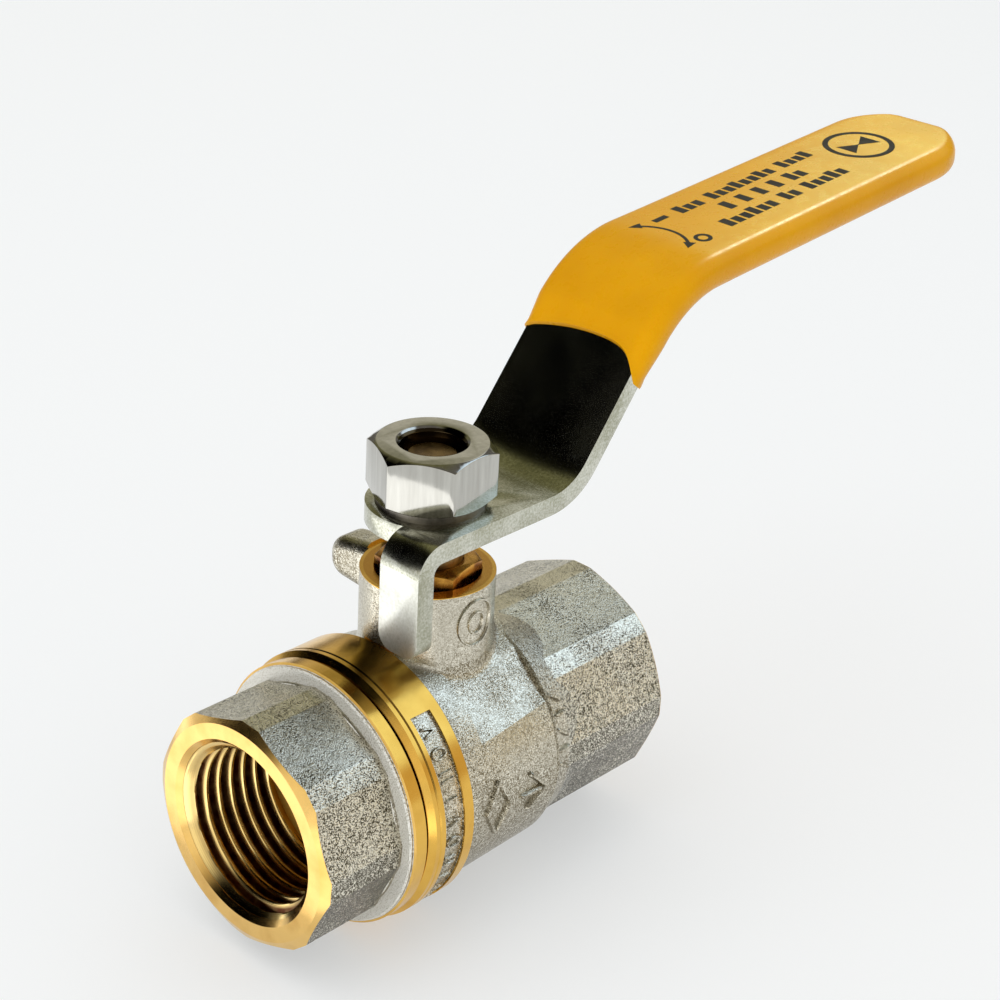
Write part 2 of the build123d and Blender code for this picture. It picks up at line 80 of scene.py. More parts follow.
OUTER_BEND_R = 16.0 * MM
BEND_STEPS = 24
STRIP_WIDE = 8.5 * MM               # half width of the strip near the stem
STRIP_NARROW = 8.2 * MM             # and under the grip
TAPER_START = 16 * MM               # distances from the stem axis
TAPER_LENGTH = 26 * MM
FLANGE_START = STEM_X - 17.3 * MM   # the cap's octagon ends and its flange starts
COLLAR_START = STEM_X - 16.47 * MM  # the cap is turned brass from here on
LIP_END = STEM_X - 13.4 * MM        # the turned lip at the body's mouth
RING_END = STEM_X - 7.45 * MM       # the body's machined ring
RING_INNER_R = 15.97 * MM
RING_OUTER_R = 16.3 * MM
BARREL_END = STEM_X + 10.5 * MM     # the body's barrel ends and its octagon starts
NECK_FOOT_R = 9.3 * MM              # the neck with the fillet at its foot
NECK_FOOT_Z = 14.5 * MM
NECK_OUTER_R = 8.1 * MM
NECK_RIM_Z = 23.3 * MM              # its turned rim is above this
NECK_SHADE_R = 7.35 * MM             # the rim's brass is painted browner, as shade, nearer the stem than this
NECK_BORE_R = 6.4 * MM
NECK_BORE_Z = 12.0 * MM
BORE_MASK_R = 13.3 * MM             # all that is nearer the pipe axis is turned brass
FACE_CHAMFER_R = 12.95 * MM         # the cone turned on each port face starts here
FACE_CHAMFER_RISE = 1.1 / 2.05      # its depth over its width
EDGE = 0.04 * MM                    # how far a mask reaches past an edge


# ---- Node-tree helpers ------------------------------------------------------------------
def feed(links, socket, value):
    """Links a node output to a socket, or sets a constant on it."""
    if isinstance(value, bpy.types.NodeSocket):
        links.new(value, socket)
    else:
        socket.default_value = value


def mix_colours(nodes, links, factor, a, b):
    """Mixes two colours; each is a node output or a constant."""
    node = nodes.new("ShaderNodeMix")
    node.data_type = "RGBA"
    for name, value in (("Factor_Float", factor), ("A_Color", a), ("B_Color", b)):
        socket = next(s for s in node.inputs if s.identifier == name)
        feed(links, socket, (*value, 1) if isinstance(value, tuple) else value)
    return next(s for s in node.outputs if s.identifier == "Result_Color")


class Tree:
    """Builds one procedural material, node by node, in object coordinates."""

    def __init__(self, name, metallic, roughness, colour):
        self.material = bpy.data.materials.new(name)
        self.material.use_nodes = True
        self.nodes = self.material.node_tree.nodes
        self.links = self.material.node_tree.links
        self.shader = self.nodes["Principled BSDF"]
        self.shader.inputs["Metallic"].default_value = metallic
        self.shader.inputs["Roughness"].default_value = roughness
        self.shader.inputs["Base Color"].default_value = (*colour, 1)
        coordinates = self.nodes.new("ShaderNodeTexCoord").outputs
        self.place = coordinates["Object"]
        self.normal = coordinates["Normal"]
        self.axes = None

    def feed(self, socket, value):
        feed(self.links, socket, value)

    def xyz(self):
        if self.axes is None:
            split = self.nodes.new("ShaderNodeSeparateXYZ")
            self.feed(split.inputs[0], self.place)
            self.axes = split.outputs
        return self.axes

    def math(self, operation, a, b=0.0, c=0.0):
        node = self.nodes.new("ShaderNodeMath")
        node.operation = operation
        for socket, value in zip(node.inputs, (a, b, c)):
            self.feed(socket, value)
        return node.outputs[0]

    def stretched(self, scale):
        """Object coordinates stretched by a different factor along each axis."""
        node = self.nodes.new("ShaderNodeMapping")
        self.feed(node.inputs["Vector"], self.place)
        node.inputs["Scale"].default_value = scale
        return node.outputs[0]

    def noise(self, scale, detail=2.0, roughness=0.5, vector=None):
        node = self.nodes.new("ShaderNodeTexNoise")
        self.feed(node.inputs["Vector"], self.place if vector is None else vector)
        node.inputs["Scale"].default_value = scale
        node.inputs["Detail"].default_value = detail
        node.inputs["Roughness"].default_value = roughness
        return node.outputs["Fac"]

    def span(self, value, low, high, to_low=0.0, to_high=1.0):
        """Maps low..high to to_low..to_high, clamped."""
        node = self.nodes.new("ShaderNodeMapRange")
        for socket, number in zip(node.inputs, (value, low, high, to_low, to_high)):
            self.feed(socket, number)
        return node.outputs[0]

    def blend(self, factor, a, b):
        return mix_colours(self.nodes, self.links, factor, a, b)

    def colour(self, value):
        self.feed(self.shader.inputs["Base Color"], value)

    def roughness(self, value):
        self.feed(self.shader.inputs["Roughness"], value)

    def bump(self, height, depth, strength=1.0):
        """Adds surface relief: height 0..1 times depth, in metres. Calls stack."""
        node = self.nodes.new("ShaderNodeBump")
        node.inputs["Strength"].default_value = strength
        node.inputs["Distance"].default_value = depth
        self.feed(node.inputs["Height"], height)
        earlier = self.shader.inputs["Normal"]
        if earlier.links:
            self.feed(node.inputs["Normal"], earlier.links[0].from_socket)
        self.feed(earlier, node.outputs[0])

    def length(self, a, b):
        """Length of a flat vector."""
        squares = self.math("ADD", self.math("MULTIPLY", a, a), self.math("MULTIPLY", b, b))
        return self.math("SQRT", squares)

    def from_pipe(self):
        """Distance from the pipe axis."""
        _, y, z = self.xyz()
        return self.length(y, z)

    def from_stem(self):
        """Distance from the stem axis."""
        x, y, _ = self.xyz()
        return self.length(self.math("SUBTRACT", x, STEM_X), y)

    def facing(self, axis):
        """From 1 on a surface that faces along an axis (0, 1 or 2) to -1 on one that faces against it."""
        split = self.nodes.new("ShaderNodeSeparateXYZ")
        self.feed(split.inputs[0], self.normal)
        return split.outputs[axis]

    def both(self, *masks):
        """The product of masks: 1 where every one is."""
        total = masks[0]
        for mask in masks[1:]:
            total = self.math("MULTIPLY", total, mask)
        return total

    def either(self, *masks):
        """The greatest of masks: 1 where any one is."""
        total = masks[0]
        for mask in masks[1:]:
            total = self.math("MAXIMUM", total, mask)
        return total

    def over(self, value, limit):
        return self.math("GREATER_THAN", value, limit)

    def under(self, value, limit):
        return self.math("LESS_THAN", value, limit)


# ---- Materials --------------------------------------------------------------------------
BRASS = (0.80, 0.48, 0.095)
# deep brown for random patches, and for painted shade inside the neck's rim
BRASS_DEEP_AND_SHADE = (0.52, 0.25, 0.03)
BRASS_PALE = (0.82, 0.53, 0.17)
NICKEL = (0.84, 0.80, 0.68)
NICKEL_DARK = (0.21, 0.175, 0.11)
NICKEL_PIT = (0.07, 0.06, 0.035)
# painted reflection: near white and grey grains for the cap's flange face
FLANGE_PAINTED_WHITE = (0.90, 0.88, 0.81)
FLANGE_PAINTED_GREY = (0.42, 0.39, 0.31)


def brass_colour(tree):
    """Machined brass, browner in random patches, browner still on upward faces near the stem as painted
    shade, and paler on the port faces.
    """
    x = tree.xyz()[0]
    face_depth = 1.3 * MM
    ends = tree.either(tree.under(x, face_depth), tree.over(x, FACE_TO_FACE - face_depth))
    patches = tree.span(tree.noise(260, 3), 0.42, 0.75)
    fresh = tree.blend(ends, BRASS, BRASS_PALE)
    # painted shade: upward faces near the stem, inside the neck's rim, are painted deep brown
    neck_shade = tree.both(tree.over(tree.facing(2), 0.6), tree.under(tree.from_stem(), NECK_SHADE_R))
    share = tree.either(tree.math("MULTIPLY", patches, 0.45), tree.math("MULTIPLY", neck_shade, 0.85))
    return tree.blend(share, fresh, BRASS_DEEP_AND_SHADE)


def turned_marks(tree, along):
    """Fine tool marks of a lathe; along is the coordinate that the tool moved on."""
    feed_per_turn = 0.16 * MM
    ridges = tree.math("SINE", tree.math("MULTIPLY", along, TAU / feed_per_turn))
    uneven = tree.noise(1400, 2, vector=tree.stretched((1, 0.05, 0.05)))
    return tree.math("MULTIPLY_ADD", ridges, 0.25, uneven)


def on_octagons(tree):
    """1 along the two octagons."""
    x = tree.xyz()[0]
    return tree.either(tree.under(x, FLANGE_START), tree.over(x, BARREL_END))


def on_neck_skin(tree):
    """1 on the neck and the fillet at its foot."""
    return tree.both(tree.under(tree.from_stem(), NECK_FOOT_R), tree.over(tree.xyz()[2], NECK_FOOT_Z))


def forged_speckle(tree, grain, worn):
    """Light and dark grains about 0.5: weaker where worn, and darker on faces that point down, which is
    painted shade.
    """
    clusters = tree.noise(1900, 2.0, 0.6)
    speckle = tree.math("MULTIPLY_ADD", grain, 0.72, tree.math("MULTIPLY", clusters, 0.28))
    speckle = tree.math("MULTIPLY_ADD", tree.math("SUBTRACT", speckle, 0.5), worn, 0.5)
    # painted shade: faces that point down are made darker
    return tree.math("SUBTRACT", speckle, tree.span(tree.facing(2), -0.5, 0.75, 0.075, -0.01))


def nickel(tree, speckle, low, high, dark):
    """Plating whose speckle turns from dark to light between two levels."""
    return tree.blend(tree.span(speckle, low, high), dark, NICKEL)


def plated_forging(name, machined, painted_white=None):
    """Nickel-plated forged skin, pitted on the octagons and smoother on the neck.

    It is bare turned brass where machined(tree) is 1, and painted matt white, as a painted reflection,
    where the third argument is 1.
    """
    tree = Tree(name, 1.0, 0.35, NICKEL)
    mask = machined(tree)
    grain = tree.noise(6400, 1.0, 0.6)
    broad = tree.noise(420, 3.0, 0.6)
    worn = tree.span(tree.noise(130, 2.0), 0.42, 0.60, 0.45, 1.0)
    speckle = forged_speckle(tree, grain, worn)
    smooth_skin = nickel(tree, speckle, 0.40, 0.56, NICKEL_DARK)
    pitted_skin = nickel(tree, speckle, 0.43, 0.52, NICKEL_PIT)
    neck_skin = nickel(tree, speckle, 0.30, 0.58, NICKEL_DARK)
    on_neck = on_neck_skin(tree)
    skin = tree.blend(on_octagons(tree), smooth_skin, pitted_skin)
    skin = tree.blend(on_neck, skin, neck_skin)
    if painted_white is not None:
        # painted reflection: the flange face is painted matt white and made nearly non-metallic
        white_reflection = painted_white(tree)
        skin = tree.blend(white_reflection, skin, tree.blend(tree.span(grain, 0.38, 0.54), FLANGE_PAINTED_GREY, FLANGE_PAINTED_WHITE))
        tree.feed(tree.shader.inputs["Metallic"], tree.math("MULTIPLY_ADD", white_reflection, -0.85, 1.0))
    tree.colour(tree.blend(mask, skin, brass_colour(tree)))
    cast_rough = tree.span(grain, 0.3, 0.7, 0.33, 0.22)
    turned_rough = tree.span(broad, 0.3, 0.7, 0.13, 0.22)
    smoother = tree.math("SUBTRACT", turned_rough, cast_rough)
    tree.roughness(tree.math("MULTIPLY_ADD", mask, smoother, cast_rough))
    unmasked = tree.math("SUBTRACT", 1.0, mask)
    relief = tree.math("MULTIPLY_ADD", on_neck, -0.6, 1.0)
    tree.bump(tree.both(grain, worn, unmasked, relief), 0.09 * MM, 0.95)
    tree.bump(tree.both(broad, unmasked), 0.25 * MM, 0.35)
    marks = turned_marks(tree, tree.math("ADD", tree.xyz()[0], tree.from_pipe()))
    tree.bump(tree.both(marks, mask), 0.010 * MM, 0.5)
    return tree.material


def port_face(tree, depth):
    """1 on a port's face, its outer chamfer and everything turned inside the bore."""
    radius = tree.from_pipe()
    cone = tree.math("MULTIPLY", tree.math("SUBTRACT", radius, FACE_CHAMFER_R), FACE_CHAMFER_RISE)
    on_face = tree.under(depth, tree.math("ADD", tree.math("MAXIMUM", cone, 0.0), EDGE))
    return tree.either(on_face, tree.under(radius, BORE_MASK_R))


def cap_machined(tree):
    x = tree.xyz()[0]
    return tree.either(port_face(tree, x), tree.over(x, COLLAR_START))


def flange_face(tree):
    """The flat of the cap's flange, around the octagon, which is painted white as a painted reflection."""
    behind = tree.over(tree.xyz()[0], FLANGE_START)
    return tree.both(behind, tree.under(tree.facing(0), -0.6))


def body_machined(tree):
    x, _, z = tree.xyz()
    radius = tree.from_pipe()
    face = port_face(tree, tree.math("SUBTRACT", FACE_TO_FACE, x))
    on_radius = tree.both(tree.over(radius, RING_INNER_R), tree.under(radius, RING_OUTER_R))
    ring = tree.both(tree.under(x, RING_END), on_radius)
    out = tree.from_stem()
    rim = tree.both(tree.over(z, NECK_RIM_Z), tree.under(out, NECK_OUTER_R))
    bore = tree.both(tree.over(z, NECK_BORE_Z), tree.under(out, NECK_BORE_R))
    return tree.either(face, ring, tree.under(x, LIP_END), rim, bore)


def turned_brass(name, colour, dark, roughness):
    tree = Tree(name, 1.0, roughness, colour)
    patches = tree.span(tree.noise(500, 3), 0.40, 0.70)
    tree.colour(tree.blend(patches, colour, dark))
    tree.roughness(tree.span(tree.noise(900, 2), 0.3, 0.7, roughness - 0.05, roughness + 0.08))
    tree.bump(turned_marks(tree, tree.xyz()[2]), 0.008 * MM, 0.5)
    return tree.material


def thread_brass():
    """Cut thread: bright crests and flanks, and the roots darker brown from a little past the mouth
    inward.
    """
    tree = Tree("thread_brass", 1.0, 0.2, BRASS)
    radius = tree.from_pipe()
    root = tree.span(radius, THREAD_MINOR_R + 0.10 * MM, THREAD_MINOR_R + 0.55 * MM)
    x = tree.xyz()[0]
    depth = tree.math("MINIMUM", x, tree.math("SUBTRACT", FACE_TO_FACE, x))
    root = tree.math("MULTIPLY", root, tree.span(depth, 0.9 * MM, 1.9 * MM))
    # darker brown in the thread roots, from about 1 mm past the mouth inward
    dark_roots = tree.math("MULTIPLY", root, tree.span(tree.noise(700, 3), 0.25, 0.6, 0.8, 1.0))
    tree.colour(tree.blend(dark_roots, (0.90, 0.66, 0.26), (0.10, 0.022, 0.004)))
    tree.roughness(tree.span(root, 0, 1, 0.14, 0.36))
    tree.bump(turned_marks(tree, radius), 0.006 * MM, 0.5)
    return tree.material


def zinc_steel():
    """Zinc-plated strip: olive grey, finely mottled, streaked along X, and more matt on the stop tabs,
    whose faces towards -X are painted near white as a painted reflection.
    """
    tree = Tree("zinc_steel", 1.0, 0.25, (0.52, 0.52, 0.44))
    mottle = tree.noise(3400, 2, 0.6)
    clouds = tree.noise(260, 3)
    streaks = tree.noise(900, 2, vector=tree.stretched((0.15, 1, 1)))
    tone = tree.math("MULTIPLY_ADD", mottle, 0.55, tree.math("MULTIPLY", clouds, 0.45))
    share = tree.span(tone, 0.38, 0.62)
    strip = tree.blend(share, (0.38, 0.38, 0.285), (0.66, 0.66, 0.58))
    # painted reflection: the tabs' faces towards -X are painted near white
    tab_painted_glare = tree.blend(share, (0.74, 0.74, 0.66), (0.92, 0.92, 0.86))
    tab_top = PLATE_MID_Z - 2.2 * MM
    on_tabs = tree.under(tree.xyz()[2], tab_top)
    tree.colour(tree.blend(tree.both(on_tabs, tree.under(tree.facing(0), -0.6)), strip, tab_painted_glare))
    sheen = tree.span(clouds, 0.3, 0.7, 0.26, 0.18)
    tree.roughness(tree.math("MULTIPLY_ADD", on_tabs, 0.18, sheen))
    tree.bump(mottle, 0.020 * MM, 0.35)
    tree.bump(streaks, 0.02 * MM, 0.3)
    return tree.material


def bright_plate():
    """Bright plated nut, with faint drawn streaks up its flats, and its bore painted near black as shade.
    """
    tree = Tree("bright_plate", 1.0, 0.10, (0.48, 0.47, 0.44))
    streaks = tree.noise(1500, 3, vector=tree.stretched((1, 1, 0.08)))
    plate = tree.blend(tree.span(streaks, 0.3, 0.7), (0.42, 0.41, 0.375), (0.53, 0.52, 0.48))
    bore_r = 3.9 * MM
    # painted shade: the nut's bore is painted near black
    bore_shade = tree.under(tree.from_stem(), bore_r)
    tree.colour(tree.blend(bore_shade, plate, (0.07, 0.05, 0.025)))
    tree.roughness(tree.span(streaks, 0.3, 0.7, 0.07, 0.14))
    tree.bump(streaks, 0.003 * MM, 0.3)
    tree.bump(tree.noise(300, 2), 0.02 * MM, 0.15)
    return tree.material


def yellow_pvc():
    """Dipped PVC: slightly uneven in gloss and tone."""
    tree = Tree("yellow_pvc", 0.0, 0.34, (0.64, 0.285, 0.001))
    flow = tree.noise(75, 3)
    scuffs = tree.noise(700, 4, 0.6)
    tree.colour(tree.blend(tree.span(flow, 0.35, 0.65), (0.60, 0.262, 0.001), (0.67, 0.308, 0.001)))
    tree.roughness(tree.span(scuffs, 0.3, 0.75, 0.24, 0.36))
    tree.bump(flow, 0.35 * MM, 0.3)
    tree.bump(scuffs, 0.02 * MM, 0.25)
    tree.shader.inputs["Specular IOR Level"].default_value = 0.22
    tree.shader.inputs["Specular Tint"].default_value = (1.0, 0.92, 0.42, 1)
    tree.shader.inputs["Subsurface Weight"].default_value = 0.10
    tree.shader.inputs["Subsurface Radius"].default_value = (1.0, 0.4, 0.02)
    tree.shader.inputs["Subsurface Scale"].default_value = 0.8 * MM
    return tree.material


def plain_plastic(name, low, high, roughness):
    tree = Tree(name, 0.0, roughness, high)
    cloud = tree.noise(500, 3)
    tree.colour(tree.blend(cloud, low, high))
    tree.roughness(tree.span(cloud, 0.3, 0.7, roughness - 0.05, roughness + 0.1))
    tree.bump(tree.noise(2500, 2), 0.01 * MM, 0.4)
    return tree.material


def chrome():
    tree = Tree("chromed_ball", 1.0, 0.06, (0.78, 0.79, 0.80))
    haze = tree.noise(600, 3)
    tree.colour(tree.blend(haze, (0.70, 0.71, 0.72), (0.82, 0.83, 0.84)))
    tree.roughness(tree.span(haze, 0.35, 0.7, 0.04, 0.10))
    return tree.material


def spring_steel():
    tree = Tree("spring_steel", 1.0, 0.4, (0.20, 0.18, 0.15))
    cloud = tree.noise(1200, 3)
    tree.colour(tree.blend(cloud, (0.10, 0.09, 0.08), (0.34, 0.31, 0.26)))
    tree.roughness(tree.span(cloud, 0.3, 0.7, 0.32, 0.5))
    tree.bump(cloud, 0.02 * MM, 0.5)
    return tree.material


MATERIALS = {
    "cap": plated_forging("plated_cap", cap_machined, flange_face),
    "body": plated_forging("plated_body", body_machined),
    "marks": plated_forging("plated_marks", lambda tree: 0.0),
    "thread": thread_brass(),
    "gland": turned_brass("gland_brass", (0.66, 0.34, 0.06), (0.17, 0.035, 0.008), 0.24),
    # the stem's brass is painted dark brown as shade, since its end sits deep in the nut's bore
    "stem": turned_brass("stem_brass", (0.30, 0.19, 0.07), (0.11, 0.06, 0.02), 0.30),
    "steel": zinc_steel(),
    "nut": bright_plate(),
    "sleeve": yellow_pvc(),
    "ink": plain_plastic("print_ink", (0.012, 0.012, 0.010), (0.03, 0.028, 0.02), 0.5),
    "ptfe": plain_plastic("ptfe", (0.80, 0.79, 0.76), (0.90, 0.89, 0.87), 0.4),
    "rubber": plain_plastic("seal_rubber", (0.02, 0.02, 0.02), (0.045, 0.045, 0.045), 0.6),
    "chrome": chrome(),
    "washer": spring_steel(),
}
CAD_FINISH = {
    "body": "body", "end_cap": "cap", "cap_seal": "rubber", "ball": "chrome",
    "seat_cap_side": "ptfe", "seat_body_side": "ptfe", "stem": "stem", "stem_thrust_washer": "ptfe",
    "stem_o_ring_lower": "rubber", "stem_o_ring_upper": "rubber", "gland_packing": "ptfe",
    "gland_nut": "gland", "lever": "steel", "lever_sleeve": "sleeve", "lever_washer": "washer",
    "lever_nut": "nut",
}
for node, finish in CAD_FINISH.items():
    for slot in frame["nodes"][node].material_slots:
        slot.material = MATERIALS[finish]


# ---- Mesh helpers -----------------------------------------------------------------------
def add_piece(name, mesh, finish, body, smooth_angle=35):
    """Puts a finished mesh into the scene, riding on a CAD body."""
    mesh.materials.append(MATERIALS[finish])
    mesh.polygons.foreach_set("use_smooth", [True] * len(mesh.polygons))
    mesh.set_sharp_from_angle(angle=math.radians(smooth_angle))
    piece = bpy.data.objects.new(name, mesh)
    bpy.context.scene.collection.objects.link(piece)
    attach(piece, body)
    return piece


def outward_mesh(name, verts, faces):
    """A mesh whose faces all look outward."""
    mesh = bpy.data.meshes.new(name)
    mesh.from_pydata(verts, [], faces)
    bm = bmesh.new()
    bm.from_mesh(mesh)
    bmesh.ops.recalc_face_normals(bm, faces=bm.faces)
    bm.to_mesh(mesh)
    bm.free()
    return mesh


def tube_faces(start, rings, count, closed=False, capped=True):
    """Faces of a tube through rings of count points each; closed joins its last ring to its first."""
    faces = []
    for i in range(rings if closed else rings - 1):
        a = start + i * count
        b = start + (i + 1) % rings * count
        for j in range(count):
            k = (j + 1) % count
            faces.append((a + j, a + k, b + k, b + j))
    if capped and not closed:
        faces.append(tuple(start + j for j in reversed(range(count))))
        faces.append(tuple(start + (rings - 1) * count + j for j in range(count)))
    return faces


def tube_mesh(name, rings, capped=True):
    """A mesh through equal-length rings of points."""
    verts = [point for ring in rings for point in ring]
    return outward_mesh(name, verts, tube_faces(0, len(rings), len(rings[0]), capped=capped))


def softened(node, width, angle):
    """A copy of a CAD node with its sharp edges rounded off."""
    source = frame["nodes"][node].data
    bm = bmesh.new()
    verts = [bm.verts.new(v.co) for v in source.vertices]
    for polygon in source.polygons:
        bm.faces.new([verts[i] for i in polygon.vertices])
    bmesh.ops.remove_doubles(bm, verts=bm.verts, dist=1e-6)
    bmesh.ops.dissolve_limit(bm, angle_limit=math.radians(0.5), verts=bm.verts, edges=bm.edges)
    folds = [edge for edge in bm.edges if len(edge.link_faces) == 2]
    sharp = [edge for edge in folds if edge.calc_face_angle() > math.radians(angle)]
    bmesh.ops.bevel(
        bm, geom=sharp, offset=width, offset_type="OFFSET", segments=2, profile=0.5,
        affect="EDGES", clamp_overlap=True,
    )
    mesh = bpy.data.meshes.new(node + "_detail")
    bm.to_mesh(mesh)
    bm.free()
    return mesh


# ---- Pipe threads -----------------------------------------------------------------------
def clamped(share):
    """The share, kept within 0 and 1."""
    return min(max(share, 0), 1)


def thread_radius(phase):
    """Whitworth section over one pitch: phase 0 is the crest, 0.5 the root.

    A cosine rounds the crest and root, and straight flanks keep the section sharp between.
    """
    slope = abs(((phase + 0.5) % 1.0) - 0.5) * 2
    rounded = 0.5 - 0.5 * math.cos(math.pi * clamped((slope - 0.10) / 0.80))
    eased = 0.35 * rounded + 0.65 * clamped((slope - 0.13) / 0.74)
    return THREAD_MINOR_R + (THREAD_MAJOR_R + 0.02 * MM - THREAD_MINOR_R) * eased


def add_thread(name, face_x, inward):
    """Female thread lining a port, cut right-handed from its mouth."""
    sides = 144
    steps = int(THREAD_LENGTH / THREAD_PITCH * 20)
    wall = THREAD_MAJOR_R + 0.03 * MM
    rings = []
    for i in range(steps + 1):
        depth = 0.12 * MM + (THREAD_LENGTH - 0.17 * MM) * i / steps
        run_out = clamped((depth - (THREAD_LENGTH - 1.4 * MM)) / (1.2 * MM))
        ring = []
        for j in range(sides):
            angle = TAU * j / sides
            phase = depth / THREAD_PITCH + inward * angle / TAU
            radius = max(thread_radius(phase), PORT_MOUTH_R + 0.02 * MM - depth)
            radius += (wall - radius) * run_out
            ring.append((face_x + inward * depth, radius * math.sin(angle), radius * math.cos(angle)))
        rings.append(ring)
    mesh = tube_mesh(name, rings, capped=False)
    add_piece(name, mesh, "thread", "valve_body", 60)


add_thread("thread_cap_end", 0.0, 1)
add_thread("thread_body_end", FACE_TO_FACE, -1)


# ---- Lever's middle line ------------------------------------------------------------------
def fillet_arc(before, corner, after, radius, count):
    """Points of the arc that rounds a corner, from the first leg to the second."""
    first = (before - corner).normalized()
    second = (after - corner).normalized()
    half = math.acos(first.dot(second)) / 2
    centre = corner + (first + second).normalized() * radius / math.sin(half)
    start = corner + first * radius / math.tan(half) - centre
    turn = math.pi - 2 * half
    sign = 1 if start.cross(corner - centre) > 0 else -1
    return [
        centre + Matrix.Rotation(sign * turn * i / count, 2) @ start
        for i in range(count + 1)
    ]


GRIP_DIRECTION = Vector((math.cos(GRIP_SLOPE), math.sin(GRIP_SLOPE)))
GRIP_NORMAL = Vector((-GRIP_DIRECTION.y, GRIP_DIRECTION.x))
GRIP_TIP = ARM_END + GRIP_DIRECTION * ((SLEEVE_TIP - ARM_END.x) / GRIP_DIRECTION.x)
GRIP_BEND = fillet_arc(ARM_START, ARM_END, GRIP_TIP, OUTER_BEND_R, BEND_STEPS)
BEND_CENTRE = GRIP_BEND[-1] - GRIP_NORMAL * OUTER_BEND_R


def sleeve_stations(spacing):
    """Points along the middle line, from the sleeve's start to its tip."""
    rise = (ARM_END - ARM_START).normalized()
    start = ARM_START + rise * ((SLEEVE_START_Z - ARM_START.y) / rise.y)
    corners = [start, *GRIP_BEND, GRIP_TIP]
    points = []
    for a, b in zip(corners, corners[1:]):
        count = max(1, round((b - a).length / spacing))
        points += [a.lerp(b, i / count) for i in range(count)]
    return points + [corners[-1]]


def crown_height(across):
    """How far the sleeve's broad faces bulge."""
    return SLEEVE_CROWN * (1 - (across / SLEEVE_HALF_WIDTH) ** 2)


def lever_half_width(out):
    """Half width of the strip at a distance from the stem axis."""
    return STRIP_WIDE + (STRIP_NARROW - STRIP_WIDE) * clamped((out - TAPER_START) / TAPER_LENGTH)


# ---- Dipped sleeve ------------------------------------------------------------------------
def section(half_width, half_height, corner):
    """Points round a rounded rectangle, with enough along its long sides for a crown."""
    flat = max(half_width - corner, 0)
    rise = max(half_height - corner, 0)
    corner_steps = 8
    half_steps = 12                 # from a corner to the middle of a long side
    points = []
    for quarter, (side_y, side_z) in enumerate(((1, 1), (-1, 1), (-1, -1), (1, -1))):
        for i in range(corner_steps + 1):
            angle = (quarter + i / corner_steps) * TAU / 4
            y = side_y * flat + corner * math.cos(angle)
            points.append((y, side_z * rise + corner * math.sin(angle)))
        if quarter % 2 == 0:
            z = side_z * (rise + corner)
            points += [(side_y * flat * (1 - i / half_steps), z) for i in range(1, 2 * half_steps)]
    return points


def cut_shift(across):
    """How far up the arm the coat ends, at a place across the strip."""
    middle = 1 - ((across + 2.0 * MM) / (13.5 * MM)) ** 2
    near = clamped(-across / (9 * MM))
    return SLEEVE_CUT_RISE * middle - SLEEVE_CUT_DROP * near**6


def sleeve_ring(point, along, half_width, half_height, cut_share, crown_share):
    """One ring of the sleeve, square to the lever's middle line apart from the shift of its cut."""
    normal = Vector((-along.y, along.x))
    corner = min(0.9 * (STRIP_THICKNESS / 2 + SLEEVE_WALL), half_height, half_width)
    ring = []
    for y, z in section(half_width, half_height, corner):
        z += math.copysign(crown_height(y), z) * crown_share
        place = point + normal * z + along * cut_shift(y) * cut_share
        ring.append((STEM_X + place.x, y, place.y))
    return ring


def cut_rings(start, rise):
    """The coat's cut end: one ring buried in the strip, one on its surface and one round the lip."""
    width = lever_half_width(start.x)
    height = STRIP_THICKNESS / 2
    lip = start - rise * 0.22 * MM
    return [
        sleeve_ring(start + rise * MM, rise, width - 1.0 * MM, 0.5 * MM, 1, 0),
        sleeve_ring(start, rise, width - 0.1 * MM, height - 0.05 * MM, 1, 0),
        sleeve_ring(lip, rise, width + 0.35 * MM, height + 0.40 * MM, 1, 0),
    ]


def coat_thinning(done):
    """How much thinner the coat is, at a distance from its cut end."""
    taper = 0.30 * MM * (1 - min(done / (5 * MM), 1))
    bead = 0.12 * MM * max(1 - done / (0.8 * MM), 0)
    return taper - bead


def sleeve_rings():
    """Rings of the sleeve from its cut end to its closed tip."""
    points = sleeve_stations(0.5 * MM)
    total = sum((b - a).length for a, b in zip(points, points[1:]))
    rings = cut_rings(points[0], (points[1] - points[0]).normalized())
    done = 0.0
    for i, point in enumerate(points):
        if i:
            done += (point - points[i - 1]).length
        along = (points[min(i + 1, len(points) - 1)] - points[max(i - 1, 0)]).normalized()
        left = total - done
        thin = coat_thinning(done)
        half_width = lever_half_width(point.x) + 0.92 * SLEEVE_WALL - thin
        half_height = STRIP_THICKNESS / 2 + SLEEVE_WALL - thin
        if left < SLEEVE_TIP_R:
            half_width += math.sqrt(max(SLEEVE_TIP_R**2 - (SLEEVE_TIP_R - left) ** 2, 0)) - SLEEVE_TIP_R
        if left < half_height:
            half_height = math.sqrt(max(half_height**2 - (half_height - left) ** 2, 1e-10))
        cut_share = max(1 - done / SLEEVE_CUT_FADE, 0)
        crown_share = min(1, left / SLEEVE_TIP_R)
        rings.append(sleeve_ring(point, along, half_width, half_height, cut_share, crown_share))
    return rings


def add_sleeve():
    mesh = tube_mesh("sleeve_detail", sleeve_rings())
    piece = add_piece("sleeve_detail", mesh, "sleeve", "stem_and_lever", 60)
    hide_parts("lever_sleeve")
    piece.visible_glossy = False    # its orange doesn't show in the metal in the photograph


add_sleeve()


# ---- Print on the sleeve --------------------------------------------------------------------
INK = 0.015 * MM                    # how far the ink stands above the sleeve
PRINT_ROWS = (
    # along, across, blocks in each word, height; in mm
    (6.6, 3.6, (3, 8, 4), 2.12),
    (11.6, 0.2, (1, 1, 1, 1, 2), 2.3),
    (7.4, -3.2, (6, 2, 5), 2.2),
)


